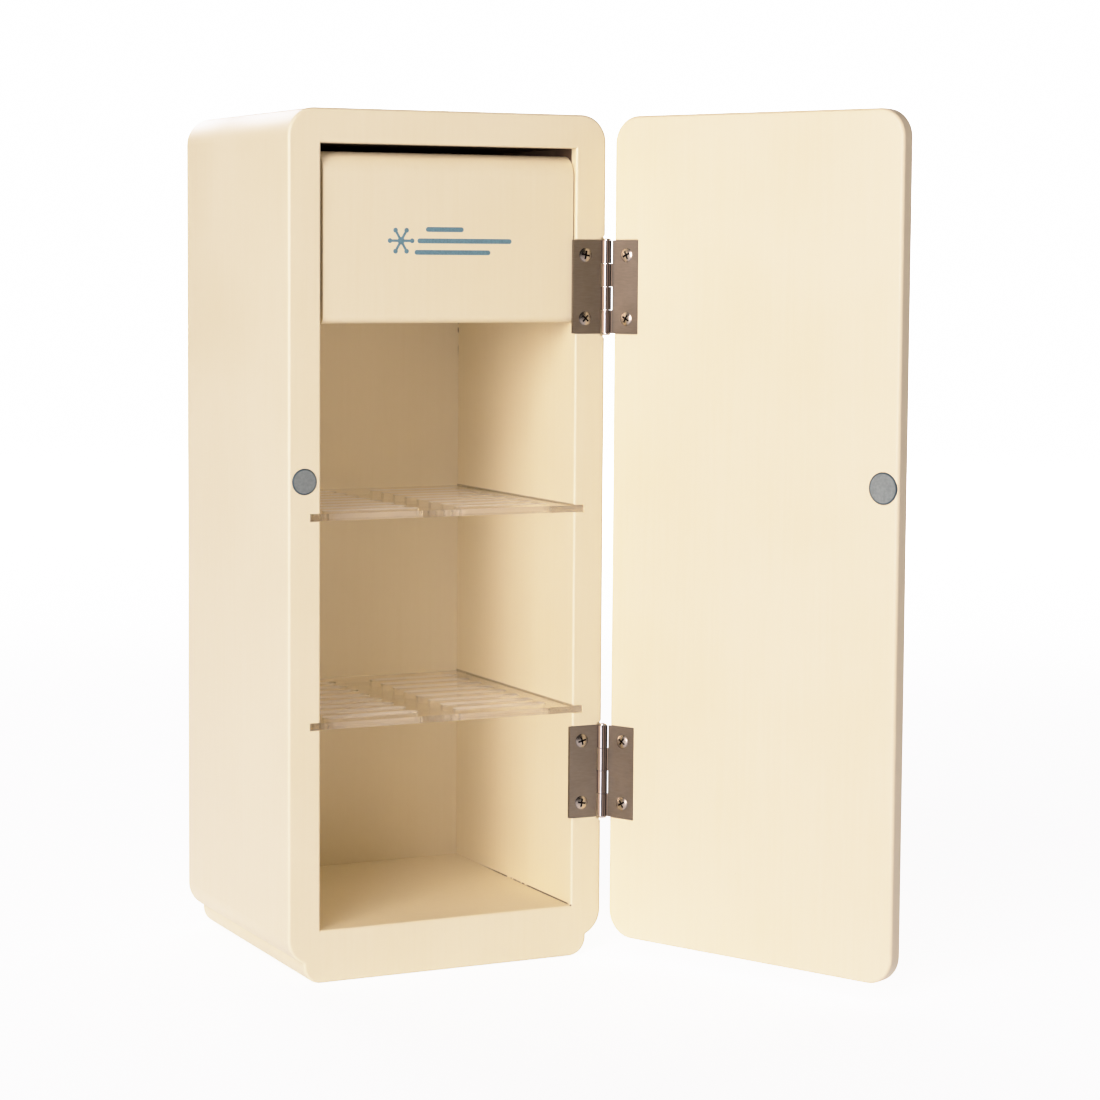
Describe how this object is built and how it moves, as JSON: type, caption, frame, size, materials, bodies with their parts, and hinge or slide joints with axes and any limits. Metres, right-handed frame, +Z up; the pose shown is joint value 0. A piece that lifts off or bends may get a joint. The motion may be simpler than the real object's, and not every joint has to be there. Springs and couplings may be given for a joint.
{
  "type": "mini fridge",
  "caption": "Small free-standing toy refrigerator in cream-painted board, with a hinged magnetic door, a freezer drawer and clear removable shelves.",
  "frame": {"origin": "centre of the plinth's underside, on the surface the cabinet stands on", "axes": "+Z up; +Y from the front of the cabinet into its depth; +X to the right, towards the hinged side"},
  "size_m": [0.1411, 0.1606, 0.228],
  "materials": {
    "cream_paint": "satin cream paint over smooth board",
    "drawer_board": "satin cream paint over smooth board",
    "clear_acrylic": "clear cast sheet with laser-cut edges",
    "hinge_leaf": "satin nickel plate",
    "hinge_pin": "polished nickel plate",
    "screw_steel": "nickel plate",
    "magnet_face": "matt zinc plate",
    "printed_ink": "thin matt printed film",
    "handle_metal": "satin nickel plate"
  },
  "bodies": {
    "cabinet": {"back_board": "cream_paint", "bottom_board": "cream_paint", "cabinet_magnet": "magnet_face", "freezer_floor_board": "cream_paint", "left_side_board": "cream_paint", "lower_hinge_cabinet_leaf": "hinge_leaf", "lower_hinge_cabinet_screws": "screw_steel", "lower_hinge_pin": "hinge_pin", "plinth": "cream_paint", "right_side_board": "cream_paint", "top_board": "cream_paint", "upper_hinge_cabinet_leaf": "hinge_leaf", "upper_hinge_cabinet_screws": "screw_steel", "upper_hinge_pin": "hinge_pin"},
    "door": {"door_board": "cream_paint", "door_handle": "handle_metal", "door_handle_screws": "screw_steel", "door_magnet": "magnet_face", "lower_hinge_door_leaf": "hinge_leaf", "lower_hinge_door_screws": "screw_steel", "upper_hinge_door_leaf": "hinge_leaf", "upper_hinge_door_screws": "screw_steel"},
    "freezer_drawer": {"drawer_back": "drawer_board", "drawer_bottom": "drawer_board", "drawer_front": "cream_paint", "drawer_left_side": "drawer_board", "drawer_right_side": "drawer_board"},
    "upper_shelf_plate": {"upper_shelf": "clear_acrylic"},
    "lower_shelf_plate": {"lower_shelf": "clear_acrylic"}
  },
  "joints": [
    {"name": "door_hinge", "type": "hinge", "parent": "cabinet", "child": "door", "pos_m": [0.04585, -0.03945, 0], "axis": [0, 0, 1], "range_deg": [-115.5, 74.5]},
    {"name": "drawer_slide", "type": "slide", "parent": "cabinet", "child": "freezer_drawer", "axis": [0, -1, 0], "range_m": [0, 0.1]},
    {"name": "upper_shelf_slide", "type": "slide", "parent": "cabinet", "child": "upper_shelf_plate", "axis": [0, -1, 0], "range_m": [0, 0.1]},
    {"name": "lower_shelf_slide", "type": "slide", "parent": "cabinet", "child": "lower_shelf_plate", "axis": [0, -1, 0], "range_m": [0, 0.1]}
  ]
}
